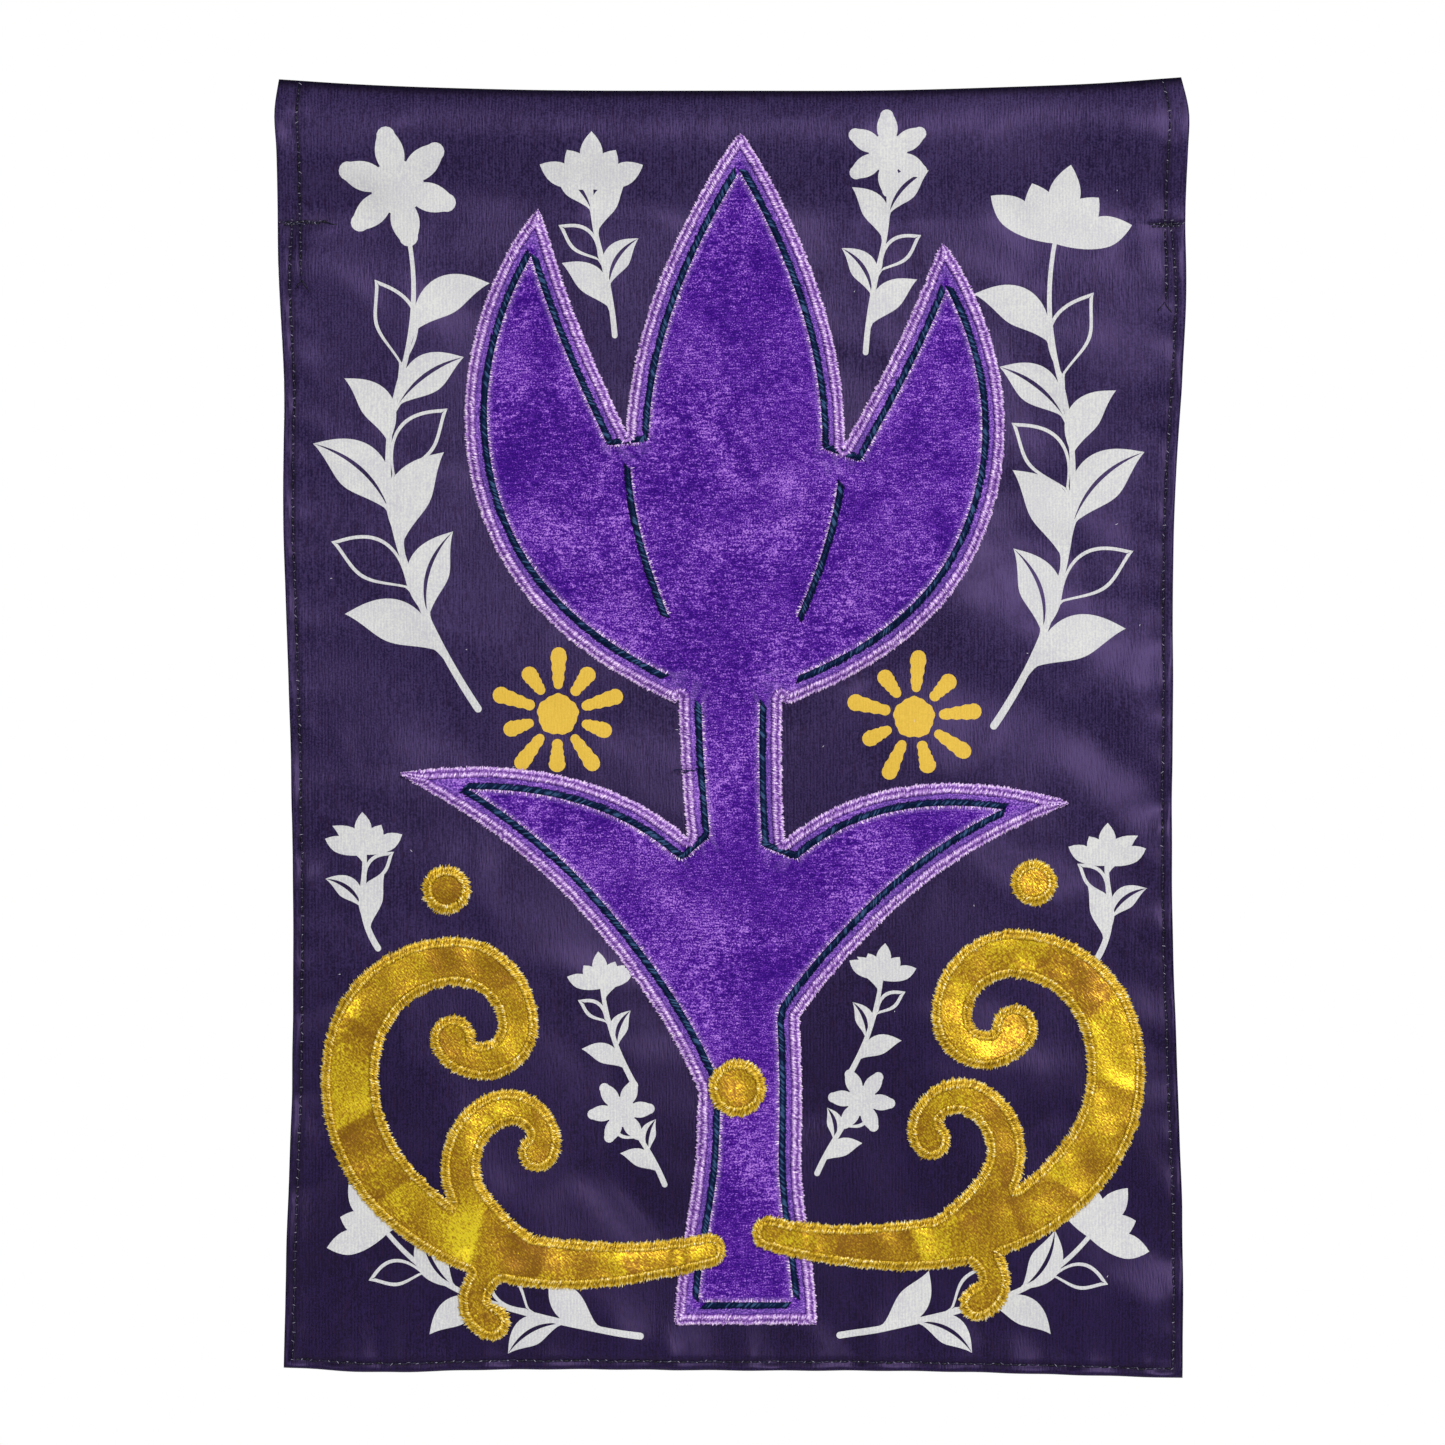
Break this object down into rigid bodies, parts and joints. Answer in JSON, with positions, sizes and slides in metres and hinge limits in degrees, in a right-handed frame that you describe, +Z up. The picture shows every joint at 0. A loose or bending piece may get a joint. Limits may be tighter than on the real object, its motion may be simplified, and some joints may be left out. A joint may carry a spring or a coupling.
{
  "type": "garden flag",
  "caption": "Double-layer applique garden flag of dark purple cloth with an open pole sleeve, a velvet tulip and gold lame scrolls, hanging with soft folds",
  "frame": {"origin": "the middle of the folded top edge, where the sleeve hangs on its pole", "axes": "+X runs along the sleeve, to the right as the decorated face is seen; +Z points up; the decorated face looks towards -Y and the drop runs down -Z"},
  "size_m": [0.3205, 0.0144, 0.4563],
  "materials": {
    "purple_cloth": "satin-weave polyester, printed in white and yellow",
    "purple_velvet": "crushed velvet pile",
    "gold_lame": "shiny metallic lame"
  },
  "bodies": {
    "root": {"flag_cloth": "purple_cloth", "velvet_tulip": "purple_velvet", "gold_scroll_left": "gold_lame", "gold_scroll_right": "gold_lame", "gold_berry_left": "gold_lame", "gold_berry_right": "gold_lame", "gold_berry_stem": "gold_lame"}
  },
  "joints": []
}
